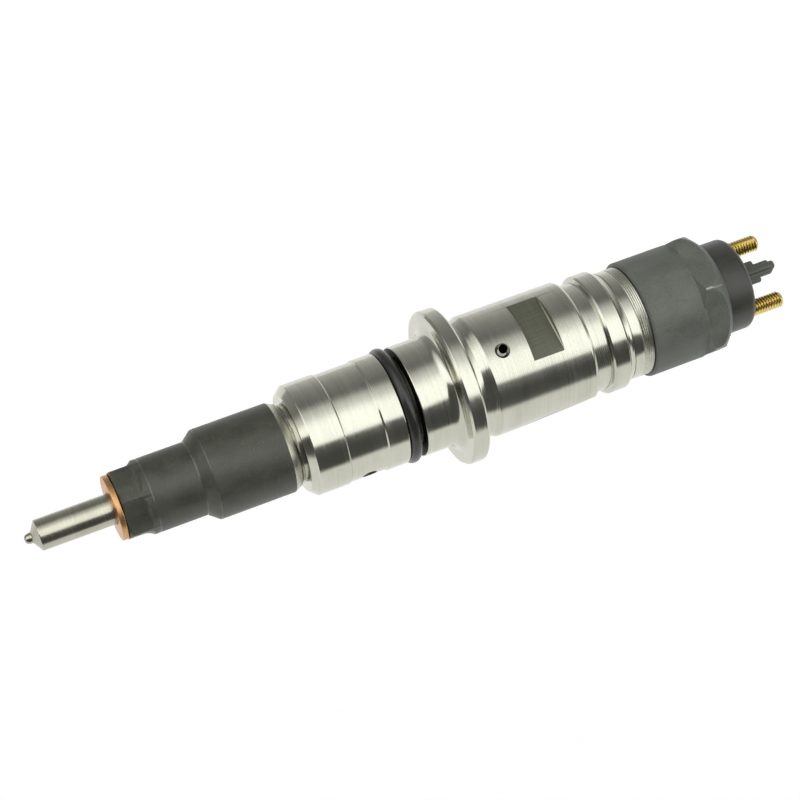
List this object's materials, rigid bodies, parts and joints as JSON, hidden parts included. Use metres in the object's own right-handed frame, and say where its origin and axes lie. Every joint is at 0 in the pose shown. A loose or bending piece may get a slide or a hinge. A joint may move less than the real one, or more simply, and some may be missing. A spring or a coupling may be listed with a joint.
{
  "type": "fuel injector",
  "caption": "Solenoid common-rail diesel injector with flanged steel body, sealing ring, capped nozzle, copper washer and threaded stud terminals.",
  "frame": {"origin": "on the injector's axis, in the plane of the flange's seat face, where the part is held", "axes": "+X along the axis from the nozzle to the terminals; +Z and -Y are the two sides from which the injector is usually seen"},
  "size_m": [0.1853, 0.0366, 0.0366],
  "materials": {
    "nozzle_steel": "fine ground, slightly heat tinted",
    "copper": "annealed copper, dull",
    "phosphate_black": "dark phosphate, satin",
    "turned_steel": "bright turned",
    "hardened_steel": "ground",
    "spring_steel": "drawn wire",
    "rubber": "smooth black",
    "nut_coating": "matte grey-green coating",
    "moulding": "glass-filled, fine grain",
    "magnet_iron": "sintered",
    "winding": "enamelled copper",
    "terminal_brass": "bright, gold coloured"
  },
  "bodies": {
    "body": {"nozzle_body": "nozzle_steel", "sealing_washer": "copper", "nozzle_nut": "phosphate_black", "locating_pin_1": "hardened_steel", "locating_pin_2": "hardened_steel", "nozzle_spring": "spring_steel", "nozzle_spring_shim": "turned_steel", "injector_body": "turned_steel", "body_o_ring": "rubber", "inlet_edge_filter": "hardened_steel", "valve_body": "hardened_steel", "valve_seal_ring": "copper", "lift_shim": "turned_steel", "armature_guide": "hardened_steel", "valve_clamping_nut": "turned_steel", "armature_spring": "spring_steel", "magnet_core": "magnet_iron", "magnet_coil": "winding", "magnet_sleeve": "turned_steel", "valve_spring": "spring_steel", "spring_adjusting_shim": "turned_steel", "solenoid_o_ring": "rubber", "disc_spring": "spring_steel", "coil_lead_1": "winding", "coil_lead_2": "winding", "solenoid_nut": "nut_coating", "terminal_cap": "moulding", "terminal_stud_1": "terminal_brass", "terminal_stud_2": "terminal_brass"},
    "needle": {"nozzle_needle": "hardened_steel", "nozzle_spring_seat": "hardened_steel"},
    "plunger": {"control_plunger": "hardened_steel"},
    "armature": {"armature_pin": "hardened_steel", "armature_plate": "magnet_iron", "armature_lock_washer": "turned_steel", "ball_holder": "hardened_steel"},
    "ball": {"valve_ball": "hardened_steel"}
  },
  "joints": [
    {"name": "needle_lift", "type": "slide", "parent": "body", "child": "needle", "axis": [1, 0, 0], "range_m": [0, 0.00025], "stiffness_N_per_m": 30000, "springref_m": -0.0015, "deforming": ["nozzle_spring"]},
    {"name": "plunger_lift", "type": "slide", "parent": "body", "child": "plunger", "axis": [1, 0, 0], "range_m": [0, 0.00025]},
    {"name": "armature_lift", "type": "slide", "parent": "body", "child": "armature", "axis": [1, 0, 0], "range_m": [0, 0.00006], "stiffness_N_per_m": 25000, "springref_m": -0.0016, "deforming": ["valve_spring", "armature_spring"]},
    {"name": "ball_lift", "type": "slide", "parent": "body", "child": "ball", "axis": [1, 0, 0], "range_m": [0, 0.00006]}
  ],
  "couplings": [
    {"joint": "plunger_lift", "follows": "needle_lift", "ratio": 1},
    {"joint": "ball_lift", "follows": "armature_lift", "ratio": 1}
  ]
}
